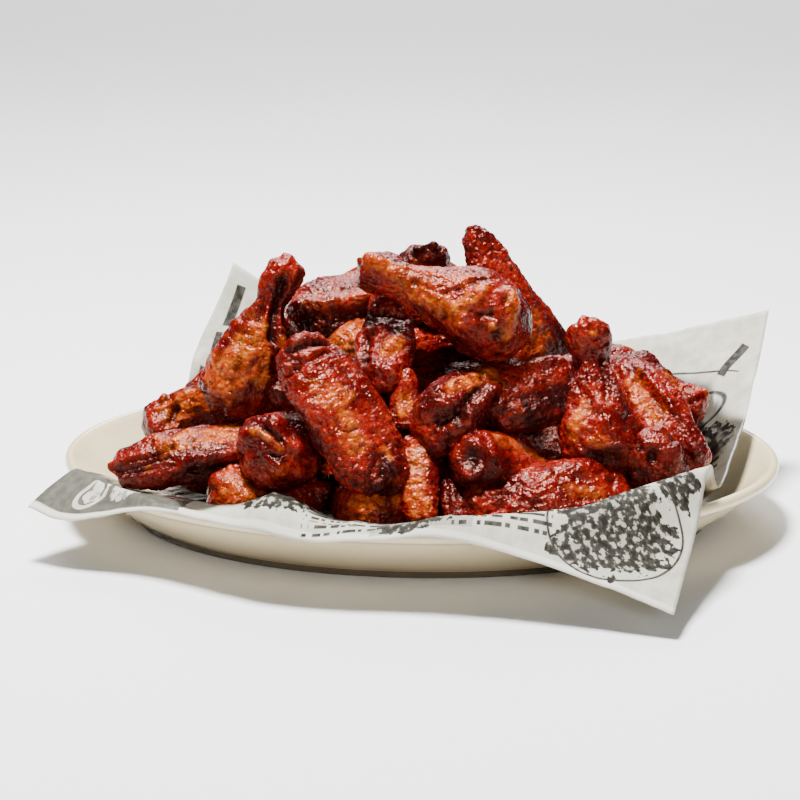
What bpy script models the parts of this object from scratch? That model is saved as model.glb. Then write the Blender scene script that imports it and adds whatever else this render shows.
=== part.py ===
"""Serving of glazed chicken wings heaped on a paper-lined oval platter.

Every wing is its own closed solid: a drumette, a flat or a wing tip, lofted through oval
sections from the thin end to the thick end.  The wings lie on a printed sheet of deli paper
in a stoneware platter.  Sizes in the tables are millimetres; the meshes are in metres.
Origin: middle of the platter's flat foot, +Z up, +X along the platter's long axis.
"""
import math

import bmesh
import bpy
import numpy as np
from mathutils import Vector
from mathutils.bvhtree import BVHTree

MM = 0.001
GAP = 0.3                         # clearance between touching pieces

# Platter: semi-axes of the foot and of the rim, and heights
FOOT_A, FOOT_B = 129.0, 82.0
RIM_A, RIM_B = 160.0, 109.0
PLATTER_H = 30.0
FLOOR_Z = 8.0                     # top of the floor inside
FOOT_H = 3.0
LIP_R = 2.6                       # radius of the rolled lip
WALL_STEPS = 4
PLATTER_SEGMENTS = 40

# Paper sheet: corners in plan, thickness, mesh
FRONT_LEFT = (-166.0, -60.0)
FRONT_RIGHT = (104.0, -141.0)
BACK_LEFT = (-95.0, 114.0)
BACK_RIGHT = (162.0, 76.0)
PAPER_T = 0.5
FRONT_EDGE_Z = 31.6               # front edge where it lies on the lip
PAPER_COLUMNS = 20
PAPER_ROWS = 14

# Sections along a wing: share of the length, half width, half thickness
DRUMETTE = ((0.00, 4.5, 4.0), (0.05, 8.6, 7.4), (0.14, 9.4, 8.0), (0.28, 7.6, 7.0),
            (0.47, 12.0, 10.5), (0.68, 17.6, 15.0), (0.85, 17.2, 15.0),
            (0.96, 11.5, 10.5), (1.00, 6.0, 5.5))
FLAT = ((0.00, 6.0, 3.2), (0.06, 12.0, 7.0), (0.24, 16.0, 8.6), (0.50, 18.6, 9.8),
        (0.78, 17.0, 10.0), (0.94, 12.0, 7.6), (1.00, 6.0, 3.6))
FAN = ((0.00, 2.5, 2.5), (0.05, 6.0, 5.0), (0.22, 9.0, 7.0), (0.50, 15.0, 9.0),
       (0.78, 20.5, 10.5), (0.94, 16.0, 8.0), (1.00, 8.0, 4.0))
TIP = ((0.00, 1.5, 1.5), (0.15, 4.0, 3.0), (0.45, 7.0, 4.5), (0.80, 8.0, 6.0),
       (0.95, 6.5, 5.0), (1.00, 3.0, 2.5))
SECTIONS = {"drumette": DRUMETTE, "flat": FLAT, "fan": FAN, "tip": TIP}
SECTION_POWER = 2.3               # a little squarer than an ellipse
FACING = (0.0, -0.6, 0.8)         # the broad side looks up and to the front at roll 0
WING_SEGMENTS = 8
HIDDEN_SEGMENTS = 6

# Wings that show keep their whole form, in this order; a later one gives way where two press
# together.  Name, form, thin end, thick end, roll in degrees, girth, bow of the middle.
OUTER_WINGS = (
    ("flat_05", "flat", (-8, -84, 36), (-53, -44, 93), 10, 1.00, 3),
    ("drumette_07", "drumette", (-28, -22, 119), (47, -38, 93), 0, 1.06, 4),
    ("drumette_01", "drumette", (-57, -14, 121), (-80, -33, 52), 0, 1.02, 3),
    ("drumette_17", "drumette", (72, -34, 101), (81, -66, 40), 0, 1.02, -3),
    ("flat_16", "flat", (20, -84, 30), (92, -74, 33), 0, 1.00, 4),
    ("drumette_04", "drumette", (-22, -24, 52), (-69, -77, 48), 0, 1.00, 0),
    ("fan_09", "fan", (22, 8, 130), (54, -8, 60), -10, 1.05, 2),
    ("drumette_13", "drumette", (50, -18, 72), (1, -67, 52), 0, 0.80, 14),
    ("flat_18", "flat", (84, -8, 73), (116, -57, 37), 20, 0.95, 3),
    ("flat_03", "flat", (-131, -58, 37), (-52, -44, 46), -15, 0.90, 2),
    ("drumette_14", "drumette", (84, -34, 30), (15, -76, 51), 0, 0.92, 0),
    ("flat_26", "flat", (28, -58, 66), (82, -28, 72), 12, 0.85, 2),
    ("flat_06", "flat", (20, 16, 98), (-60, -4, 92), 10, 1.00, 2),
    ("drumette_02", "drumette", (-121, -20, 43), (-68, 0, 59), 0, 1.18, 0),
    ("drumette_19", "drumette", (129, 4, 49), (82, 26, 55), 0, 1.00, 0),
    ("drumette_20", "drumette", (92, -14, 50), (103, -71, 40), 0, 0.88, 0),
    ("flat_11", "flat", (-13, -8, 104), (-14, -53, 74), 0, 0.68, 0),
    ("tip_12", "tip", (-4, -46, 81), (-5, -62, 58), 0, 0.90, 0),
    ("flat_08", "flat", (1, 14, 121), (8, 34, 52), 0, 0.75, 0),
    ("flat_15", "flat", (0, -60, 58), (4, -91, 26), 0, 0.46, 0),
    ("flat_27", "flat", (20, -56, 52), (19, -88, 26), 0, 0.55, 0),
    ("drumette_10", "drumette", (30, 10, 80), (-42, -16, 79), 0, 0.85, 0),
    ("drumette_21", "drumette", (-20, -50, 27), (-88, -72, 28), 0, 0.90, 0),
    ("drumette_22", "drumette", (26, -44, 27), (-31, -87, 28), 0, 0.90, 0),
    ("tip_25", "tip", (-46, -18, 74), (-60, -44, 64), 0, 1.20, 0),
)
INNER_WINGS = (
    ("drumette_31", "drumette", (-44, -24, 27), (34, -20, 27), 0, 1.05, 0),
    ("flat_24", "flat", (44, -56, 22), (118, -50, 24), 0, 0.90, 0),
    ("flat_30", "flat", (-116, 4, 25), (-42, -8, 23), 0, 1.10, 0),
    ("flat_32", "flat", (50, -22, 23), (126, -8, 27), 0, 1.10, 0),
    ("drumette_33", "drumette", (-118, 28, 35), (-60, 52, 30), 0, 1.10, 0),
    ("flat_34", "flat", (-54, 14, 23), (20, 34, 23), 0, 1.15, 0),
    ("drumette_35", "drumette", (128, 28, 38), (66, 42, 29), 0, 1.10, 0),
    ("flat_36", "flat", (-80, 74, 36), (-10, 68, 25), 0, 1.10, 0),
    ("drumette_37", "drumette", (90, 74, 42), (24, 66, 29), 0, 1.10, 0),
    ("flat_44", "flat", (30, 8, 23), (104, 18, 25), 0, 1.15, 0),
    ("drumette_38", "drumette", (-100, 48, 55), (-46, 22, 52), 0, 1.10, 0),
    ("flat_42", "flat", (-28, -8, 51), (46, 6, 53), 0, 1.15, 0),
    ("flat_39", "flat", (102, 30, 54), (38, 54, 54), 10, 1.15, 0),
    ("drumette_45", "drumette", (-66, 78, 56), (-14, 48, 52), 0, 1.10, 0),
    ("drumette_46", "drumette", (18, 92, 48), (10, 34, 54), 0, 1.00, 0),
    ("flat_47", "flat", (64, 4, 50), (100, -16, 52), 0, 0.90, 0),
    ("drumette_40", "drumette", (-76, 36, 76), (-18, 26, 79), 0, 1.05, 0),
    ("flat_41", "flat", (52, 22, 76), (-10, 44, 80), 0, 1.10, 0),
    ("flat_48", "flat", (-48, 72, 70), (-20, 36, 98), 0, 0.95, 3),
    ("flat_49", "flat", (58, 72, 54), (50, 32, 69), 0, 1.00, 3),
    ("drumette_43", "drumette", (38, 54, 84), (-16, 34, 100), 0, 1.00, 0),
)

GLAZE = ((0.200, 0.022, 0.008), (0.150, 0.016, 0.007), (0.260, 0.040, 0.010))


def smooth(value):
    """Ease from 0 to 1 with level ends."""
    value = min(max(value, 0.0), 1.0)
    return value * value * (3.0 - 2.0 * value)


def hump(value, centre, width):
    """A rounded rise of height 1 at the centre."""
    return math.exp(-((value - centre) / width) ** 2)


def material(name, colour, roughness):
    """Plain surface for one sub-part."""
    made = bpy.data.materials.new(name)
    made.use_nodes = True
    shader = made.node_tree.nodes["Principled BSDF"]
    shader.inputs["Base Color"].default_value = (*colour, 1.0)
    shader.inputs["Roughness"].default_value = roughness
    shader.inputs["Metallic"].default_value = 0.0
    return made


def add_object(name, points, faces, finish, crease=50.0):
    """Named mesh object from points in millimetres, with outward faces."""
    mesh = bpy.data.meshes.new(name)
    mesh.from_pydata([tuple(MM * c for c in p) for p in points], [], faces)
    work = bmesh.new()
    work.from_mesh(mesh)
    bmesh.ops.recalc_face_normals(work, faces=work.faces)
    work.to_mesh(mesh)
    work.free()
    mesh.shade_smooth()
    mesh.set_sharp_from_angle(angle=math.radians(crease))
    made = bpy.data.objects.new(name, mesh)
    if finish:
        mesh.materials.append(finish)
    bpy.context.scene.collection.objects.link(made)
    return made


def tube_faces(rings, segments):
    """Quads round a stack of rings, with a flat cap at each end."""
    faces = []
    for ring in range(rings - 1):
        for side in range(segments):
            here = ring * segments + side
            after = ring * segments + (side + 1) % segments
            faces.append((here, after, after + segments, here + segments))
    faces.append(tuple(reversed(range(segments))))
    faces.append(tuple(range((rings - 1) * segments, rings * segments)))
    return faces


# ---- platter ---------------------------------------------------------------------------

def wall_share(x, y):
    """Where a plan point lies between the foot's outline (0) and the rim's (1)."""
    low, high = -3.0, 6.0
    for _ in range(40):
        middle = 0.5 * (low + high)
        a = FOOT_A + (RIM_A - FOOT_A) * middle
        b = FOOT_B + (RIM_B - FOOT_B) * middle
        inside = a > 0 and b > 0 and (x / a) ** 2 + (y / b) ** 2 < 1.0
        low, high = (low, middle) if inside else (middle, high)
    return low


def platter_profile():
    """Turned profile from the middle underneath, round the lip, to the middle of the floor.

    Each entry is (share between foot and rim, height); the two middles are left to caps.
    """
    lip_share = LIP_R / (RIM_A - FOOT_A)
    profile = [(-0.02, 0.0), (0.0, 0.6), (0.0, FOOT_H)]
    under_lip = PLATTER_H - 2.0 * LIP_R
    for step in range(1, WALL_STEPS):
        t = step / WALL_STEPS
        profile.append((t * (1.0 - lip_share), FOOT_H + (under_lip - FOOT_H) * t ** 1.15))
    profile.append((1.0 - lip_share, under_lip))
    for step in range(1, 5):
        turn = math.radians(-60.0 + 40.0 * step)
        profile.append((1.0 - lip_share + lip_share * math.cos(turn),
                        PLATTER_H - LIP_R + LIP_R * math.sin(turn)))
    top_share = 1.0 - 1.7 * lip_share
    for step in range(WALL_STEPS, -1, -1):
        t = step / WALL_STEPS
        profile.append((-0.15 + (top_share + 0.15) * t,
                        FLOOR_Z + (PLATTER_H - 0.9 - FLOOR_Z) * t ** 1.5))
    return profile


def make_platter():
    """Oval platter with a flat foot, a flared wall and a rolled lip."""
    profile = platter_profile()
    points = []
    for share, height in profile:
        a = FOOT_A + (RIM_A - FOOT_A) * share
        b = FOOT_B + (RIM_B - FOOT_B) * share
        for side in range(PLATTER_SEGMENTS):
            turn = 2.0 * math.pi * side / PLATTER_SEGMENTS
            points.append((a * math.cos(turn), b * math.sin(turn), height))
    stoneware = material("cream stoneware", (0.80, 0.74, 0.60), 0.25)
    faces = tube_faces(len(profile), PLATTER_SEGMENTS)
    return add_object("platter", points, faces, stoneware)


# ---- paper -----------------------------------------------------------------------------

def lying_height(share):
    """Height of the sheet where only the platter holds it: up the wall, over the lip, down."""
    if share <= 1.0:
        rise = max(share + 0.18, 0.0) / 1.18
        return FLOOR_Z + 1.0 + (PLATTER_H - FLOOR_Z + 2.6) * rise ** 1.15
    over = share - 1.0
    return PLATTER_H + 3.6 + 3.4 * (1.0 - math.exp(-over / 0.12)) - 14.5 * over


def sheet_point(u, v):
    """Point of the sheet: u runs along the front edge to the right, v from front to back."""
    corner = (FRONT_LEFT, FRONT_RIGHT, BACK_LEFT, BACK_RIGHT)
    weight = ((1 - u) * (1 - v), u * (1 - v), (1 - u) * v, u * v)
    x = sum(w * c[0] for w, c in zip(weight, corner))
    y = sum(w * c[1] for w, c in zip(weight, corner))
    x += 26.0 * (1 - u) ** 2 * hump(v, 0.38, 0.20)              # left edge drawn in by the food
    y -= 6.0 * hump(u, 0.40, 0.16) * smooth(1.0 - v / 0.30)      # front edge pushed to the lip
    share = wall_share(x, y)
    z = lying_height(share)
    on_lip = smooth((1.3 - share) / 0.3) * smooth(1.0 - v / 0.22)
    z += max(FRONT_EDGE_Z - z, 0.0) * on_lip                    # front edge laid on the lip
    back_height = 50.0 + 38.0 * max(1.0 - u / 0.32, 0.0) ** 1.5
    back_height += 27.0 * max(2.0 * u - 1.0, 0.0) ** 1.6
    z += (back_height - z) * (max(v - 0.60, 0.0) / 0.40) ** 2    # stands up behind the heap
    z += 13.0 * smooth((u - 0.80) / 0.20) * hump(v, 0.63, 0.17)  # right edge clear of the wall
    ridge = 4.0 * smooth((u - 0.55) / 0.10) + 10.0 * smooth((u - 0.80) / 0.20)
    z += ridge * hump(share, 1.0, 0.45) * smooth((0.50 - v) / 0.15)  # where the flap folds over
    z += 8.0 * hump(u, 0.39, 0.050) * hump(v, 0.0, 0.10)         # small arch in the front edge
    z += 5.0 * hump(u, 0.07, 0.06) * hump(v, 0.16, 0.07)         # curl of the left corner
    z -= 6.0 * hump(u, 0.0, 0.07) * hump(v, 0.0, 0.08)
    return x, y, z


def sheet_grid():
    """All sheet points, row by row from the front edge."""
    return [sheet_point(col / PAPER_COLUMNS, row / PAPER_ROWS)
            for row in range(PAPER_ROWS + 1) for col in range(PAPER_COLUMNS + 1)]


def grid_faces():
    """Triangles of one face of the sheet, all cells split along the same diagonal."""
    wide = PAPER_COLUMNS + 1
    faces = []
    for row in range(PAPER_ROWS):
        for col in range(PAPER_COLUMNS):
            near = row * wide + col
            far = near + wide
            faces += [(near, near + 1, far + 1), (near, far + 1, far)]
    return faces


def rim_loop():
    """Grid indices round the sheet's border, counter-clockwise from the front left."""
    wide, rows = PAPER_COLUMNS + 1, PAPER_ROWS
    front = list(range(PAPER_COLUMNS))
    right = [r * wide + PAPER_COLUMNS for r in range(rows)]
    back = [rows * wide + c for c in range(PAPER_COLUMNS, 0, -1)]
    left = [r * wide for r in range(rows, 0, -1)]
    return front + right + back + left


def closed_sheet(name, upper, lower, finish):
    """Closed solid between two grids of the same layout."""
    count = len(upper)
    faces = grid_faces()
    faces += [tuple(count + i for i in reversed(face)) for face in grid_faces()]
    loop = rim_loop()
    for here, after in zip(loop, loop[1:] + loop[:1]):
        faces.append((after, here, count + here, count + after))
    return add_object(name, list(upper) + list(lower), faces, finish)


def sheet_normals(points):
    """Upward unit normal at each grid point."""
    grid = np.array(points).reshape(PAPER_ROWS + 1, PAPER_COLUMNS + 1, 3)
    along = np.gradient(grid, axis=1)
    across = np.gradient(grid, axis=0)
    normal = np.cross(along, across)
    normal /= np.linalg.norm(normal, axis=2, keepdims=True)
    return normal.reshape(-1, 3)


def make_paper():
    """The sheet, and the closed space under its top face that food may not enter."""
    middle = np.array(sheet_grid())
    normal = sheet_normals(middle)
    upper = middle + normal * (0.5 * PAPER_T)
    lower = middle - normal * (0.5 * PAPER_T)
    newsprint = material("printed deli paper", (0.80, 0.79, 0.76), 0.75)
    sheet = closed_sheet("paper_liner", upper, lower, newsprint)
    keep_out_top = middle + normal * (0.5 * PAPER_T + GAP)
    keep_out_base = keep_out_top * (1.0, 1.0, 0.0) - (0.0, 0.0, 40.0)
    keep_out = closed_sheet("paper keep out", keep_out_top, keep_out_base, None)
    hide_guide(keep_out)
    return sheet, keep_out


# ---- wings -----------------------------------------------------------------------------

def wing_frame(thin_end, thick_end, roll):
    """Axis, side and broad-side directions of a wing."""
    axis = (Vector(thick_end) - Vector(thin_end)).normalized()
    broad = Vector(FACING)
    broad = (broad - axis * broad.dot(axis)).normalized()
    side = axis.cross(broad)
    turn = math.radians(roll)
    turned = broad * math.cos(turn) + side * math.sin(turn)
    return axis, axis.cross(turned), turned


def wing_points(row, segments, grow):
    """Rings of a wing; grow swells it on all sides for a cutter."""
    _, form, thin_end, thick_end, roll, girth, bow = row
    axis, side, broad = wing_frame(thin_end, thick_end, roll)
    start = Vector(thin_end)
    length = (Vector(thick_end) - start).length
    sections = SECTIONS[form]
    points = []
    for share, half_width, half_thickness in sections:
        end_shift = grow if share == 1.0 else (-grow if share == 0.0 else 0.0)
        centre = start + axis * (length * share + end_shift)
        centre += broad * (bow * 4.0 * share * (1.0 - share))
        for step in range(segments):
            turn = 2.0 * math.pi * step / segments
            across = math.copysign(abs(math.cos(turn)) ** (2.0 / SECTION_POWER), math.cos(turn))
            over = math.copysign(abs(math.sin(turn)) ** (2.0 / SECTION_POWER), math.sin(turn))
            points.append(centre + side * across * (half_width * girth + grow)
                          + broad * over * (half_thickness * girth + grow))
    return points, tube_faces(len(sections), segments)


def hide_guide(piece):
    """Mark a cutter so that it isn't part of the object."""
    piece.hide_render = True
    piece.display_type = "WIRE"


def tree_of(piece):
    """Search tree of a piece's evaluated faces."""
    return BVHTree.FromObject(piece, bpy.context.evaluated_depsgraph_get())


def cut(piece, cutter):
    """Take the cutter's space out of a piece."""
    step = piece.modifiers.new("clear " + cutter.name, "BOOLEAN")
    step.operation = "DIFFERENCE"
    step.solver = "EXACT"
    step.object = cutter


def make_wings(keep_out):
    """Each wing in turn, cleared of the paper and of the wings before it."""
    cutters = []
    rows = [(row, WING_SEGMENTS) for row in OUTER_WINGS]
    rows += [(row, HIDDEN_SEGMENTS) for row in INNER_WINGS]
    paper_tree = tree_of(keep_out)
    for number, (row, segments) in enumerate(rows):
        name = row[0]
        glaze = material("glaze " + name, GLAZE[number % len(GLAZE)], 0.30)
        points, faces = wing_points(row, segments, 0.0)
        wing = add_object(name, points, faces, glaze)
        tree = tree_of(wing)
        if tree.overlap(paper_tree):
            cut(wing, keep_out)
        for cutter, cutter_tree in cutters:
            if tree.overlap(cutter_tree):
                cut(wing, cutter)
        points, faces = wing_points(row, segments, GAP + 0.05)
        guide = add_object("space of " + name, points, faces, None)
        hide_guide(guide)
        cutters.append((guide, tree_of(guide)))


def main():
    """Build the serving."""
    for old in list(bpy.data.objects):
        bpy.data.objects.remove(old)
    make_platter()
    _, keep_out = make_paper()
    make_wings(keep_out)


main()
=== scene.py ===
"""Looks of the chicken wings serving: glazed wings, printed deli paper, cream platter."""
import math
from collections import namedtuple

import bpy
import numpy as np
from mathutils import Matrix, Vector
from mathutils.bvhtree import BVHTree


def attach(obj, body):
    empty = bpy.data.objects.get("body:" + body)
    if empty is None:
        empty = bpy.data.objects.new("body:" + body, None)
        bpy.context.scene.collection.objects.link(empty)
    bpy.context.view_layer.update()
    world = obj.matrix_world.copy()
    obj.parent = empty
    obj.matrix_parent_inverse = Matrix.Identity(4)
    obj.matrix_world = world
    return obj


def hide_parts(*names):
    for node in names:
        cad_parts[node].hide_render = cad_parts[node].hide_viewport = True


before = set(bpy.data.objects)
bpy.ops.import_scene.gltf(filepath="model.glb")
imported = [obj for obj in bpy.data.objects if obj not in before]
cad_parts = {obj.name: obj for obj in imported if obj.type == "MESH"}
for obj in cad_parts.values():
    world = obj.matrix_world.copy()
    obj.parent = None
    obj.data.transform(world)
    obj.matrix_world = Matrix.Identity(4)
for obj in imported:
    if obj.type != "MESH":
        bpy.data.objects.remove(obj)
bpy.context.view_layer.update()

MM = 0.001

# Platter, the same size as its solid, in millimetres: half axes of the foot's and the rim's
# outline, height, height of the inner floor, of the foot and of the hollow under it, radius of
# the rolled lip
FOOT_A, FOOT_B = 129.0, 82.0
RIM_A, RIM_B = 160.0, 109.0
PLATTER_H = 30.0
FLOOR_Z = 8.0
FOOT_H = 3.0
HOLLOW_Z = 0.8
LIP_R = 2.6
PLATTER_SIDES = 180

# Sheet: corners in plan, height of its front edge on the lip, flat size, unprinted front
# margin, thickness, and faces along and across
FRONT_LEFT = (-166.0, -60.0)
FRONT_RIGHT = (104.0, -141.0)
BACK_LEFT = (-95.0, 114.0)
BACK_RIGHT = (162.0, 76.0)
FRONT_EDGE_Z = 31.6
SHEET_W, SHEET_D = 305.0, 250.0
HEM = 3.5
SHEET_THICK = 0.30
SHEET_COLUMNS, SHEET_ROWS = 170, 140

# Wings resting on the sheet: how high one can be that reaches it, the gap left between them,
# and the deepest sinking that is mended
RESTING_BELOW = 60.0
RESTING_GAP = 0.4
RESTING_DEPTH = 18.0

# Distance between rings of points on a wing in the front of the heap and on one behind it,
# the same around as a multiple, and a section's girth as a multiple of its half width
FRONT_PITCH, BEHIND_PITCH = 0.64, 1.30
AROUND_PITCH = 1.15
GIRTH_SHARE = 5.6

# Sections along a wing: share of the length from the thin end, half width, half thickness
DRUMETTE = ((0.00, 4.5, 4.0), (0.05, 8.6, 7.4), (0.14, 9.4, 8.0), (0.28, 7.6, 7.0),
            (0.47, 12.0, 10.5), (0.68, 17.6, 15.0), (0.85, 17.2, 15.0),
            (0.96, 11.5, 10.5), (1.00, 6.0, 5.5))
FLAT = ((0.00, 6.0, 3.2), (0.06, 12.0, 7.0), (0.24, 16.0, 8.6), (0.50, 18.6, 9.8),
        (0.78, 17.0, 10.0), (0.94, 12.0, 7.6), (1.00, 6.0, 3.6))
FAN = ((0.00, 2.5, 2.5), (0.05, 6.0, 5.0), (0.22, 9.0, 7.0), (0.50, 15.0, 9.0),
       (0.78, 20.5, 10.5), (0.94, 16.0, 8.0), (1.00, 8.0, 4.0))
TIP = ((0.00, 1.5, 1.5), (0.15, 4.0, 3.0), (0.45, 7.0, 4.5), (0.80, 8.0, 6.0),
       (0.95, 6.5, 5.0), (1.00, 3.0, 2.5))
SECTIONS = {"drumette": DRUMETTE, "flat": FLAT, "fan": FAN, "tip": TIP}
# How squarish a section is (2 is an ellipse), and the way that a wing's broad side faces
SECTION_POWER = 2.3
FACING = (0.0, -0.6, 0.8)

# Wings: roll in degrees, girth as a multiple of the sections above, bow of the middle in mm.
# First those in the front of the heap, then those under and behind them.
Wing = namedtuple("Wing", "name form thin_end thick_end roll girth bow")
OUTER_WINGS = tuple(Wing(*row) for row in (
    ("flat_05", "flat", (-8, -84, 36), (-53, -44, 93), 10, 1.00, 3),
    ("drumette_07", "drumette", (-28, -22, 119), (47, -38, 93), 0, 1.06, 4),
    ("drumette_01", "drumette", (-57, -14, 121), (-80, -33, 52), 0, 1.02, 3),
    ("drumette_17", "drumette", (72, -34, 101), (81, -66, 40), 0, 1.02, -3),
    ("flat_16", "flat", (20, -84, 30), (92, -74, 33), 0, 1.00, 4),
    ("drumette_04", "drumette", (-22, -24, 52), (-69, -77, 48), 0, 1.00, 0),
    ("fan_09", "fan", (22, 8, 130), (54, -8, 60), -10, 1.05, 2),
    ("drumette_13", "drumette", (50, -18, 72), (1, -67, 52), 0, 0.80, 14),
    ("flat_18", "flat", (84, -8, 73), (116, -57, 37), 20, 0.95, 3),
    ("flat_03", "flat", (-131, -58, 37), (-52, -44, 46), -15, 0.90, 2),
    ("drumette_14", "drumette", (84, -34, 30), (15, -76, 51), 0, 0.92, 0),
    ("flat_26", "flat", (28, -58, 66), (82, -28, 72), 12, 0.85, 2),
    ("flat_06", "flat", (20, 16, 98), (-60, -4, 92), 10, 1.00, 2),
    ("drumette_02", "drumette", (-121, -20, 43), (-68, 0, 59), 0, 1.18, 0),
    ("drumette_19", "drumette", (129, 4, 49), (82, 26, 55), 0, 1.00, 0),
    ("drumette_20", "drumette", (92, -14, 50), (103, -71, 40), 0, 0.88, 0),
    ("flat_11", "flat", (-13, -8, 104), (-14, -53, 74), 0, 0.68, 0),
    ("tip_12", "tip", (-4, -46, 81), (-5, -62, 58), 0, 0.90, 0),
    ("flat_08", "flat", (1, 14, 121), (8, 34, 52), 0, 0.75, 0),
    ("flat_15", "flat", (0, -60, 58), (4, -91, 26), 0, 0.46, 0),
    ("flat_27", "flat", (20, -56, 52), (19, -88, 26), 0, 0.55, 0),
    ("drumette_10", "drumette", (30, 10, 80), (-42, -16, 79), 0, 0.85, 0),
    ("drumette_21", "drumette", (-20, -50, 27), (-88, -72, 28), 0, 0.90, 0),
    ("drumette_22", "drumette", (26, -44, 27), (-31, -87, 28), 0, 0.90, 0),
    ("tip_25", "tip", (-46, -18, 74), (-60, -44, 64), 0, 1.20, 0),
))
INNER_WINGS = tuple(Wing(*row) for row in (
    ("drumette_31", "drumette", (-44, -24, 27), (34, -20, 27), 0, 1.05, 0),
    ("flat_24", "flat", (44, -56, 22), (118, -50, 24), 0, 0.90, 0),
    ("flat_30", "flat", (-116, 4, 25), (-42, -8, 23), 0, 1.10, 0),
    ("flat_32", "flat", (50, -22, 23), (126, -8, 27), 0, 1.10, 0),
    ("drumette_33", "drumette", (-118, 28, 35), (-60, 52, 30), 0, 1.10, 0),
    ("flat_34", "flat", (-54, 14, 23), (20, 34, 23), 0, 1.15, 0),
    ("drumette_35", "drumette", (128, 28, 38), (66, 42, 29), 0, 1.10, 0),
    ("flat_36", "flat", (-80, 74, 36), (-10, 68, 25), 0, 1.10, 0),
    ("drumette_37", "drumette", (90, 74, 42), (24, 66, 29), 0, 1.10, 0),
    ("flat_44", "flat", (30, 8, 23), (104, 18, 25), 0, 1.15, 0),
    ("drumette_38", "drumette", (-100, 48, 55), (-46, 22, 52), 0, 1.10, 0),
    ("flat_42", "flat", (-28, -8, 51), (46, 6, 53), 0, 1.15, 0),
    ("flat_39", "flat", (102, 30, 54), (38, 54, 54), 10, 1.15, 0),
    ("drumette_45", "drumette", (-66, 78, 56), (-14, 48, 52), 0, 1.10, 0),
    ("drumette_46", "drumette", (18, 92, 48), (10, 34, 54), 0, 1.00, 0),
    ("flat_47", "flat", (64, 4, 50), (100, -16, 52), 0, 0.90, 0),
    ("drumette_40", "drumette", (-76, 36, 76), (-18, 26, 79), 0, 1.05, 0),
    ("flat_41", "flat", (52, 22, 76), (-10, 44, 80), 0, 1.10, 0),
    ("flat_48", "flat", (-48, 72, 70), (-20, 36, 98), 0, 0.95, 3),
    ("flat_49", "flat", (58, 72, 54), (50, 32, 69), 0, 1.00, 3),
    ("drumette_43", "drumette", (38, 54, 84), (-16, 34, 100), 0, 1.00, 0),
))

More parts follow.
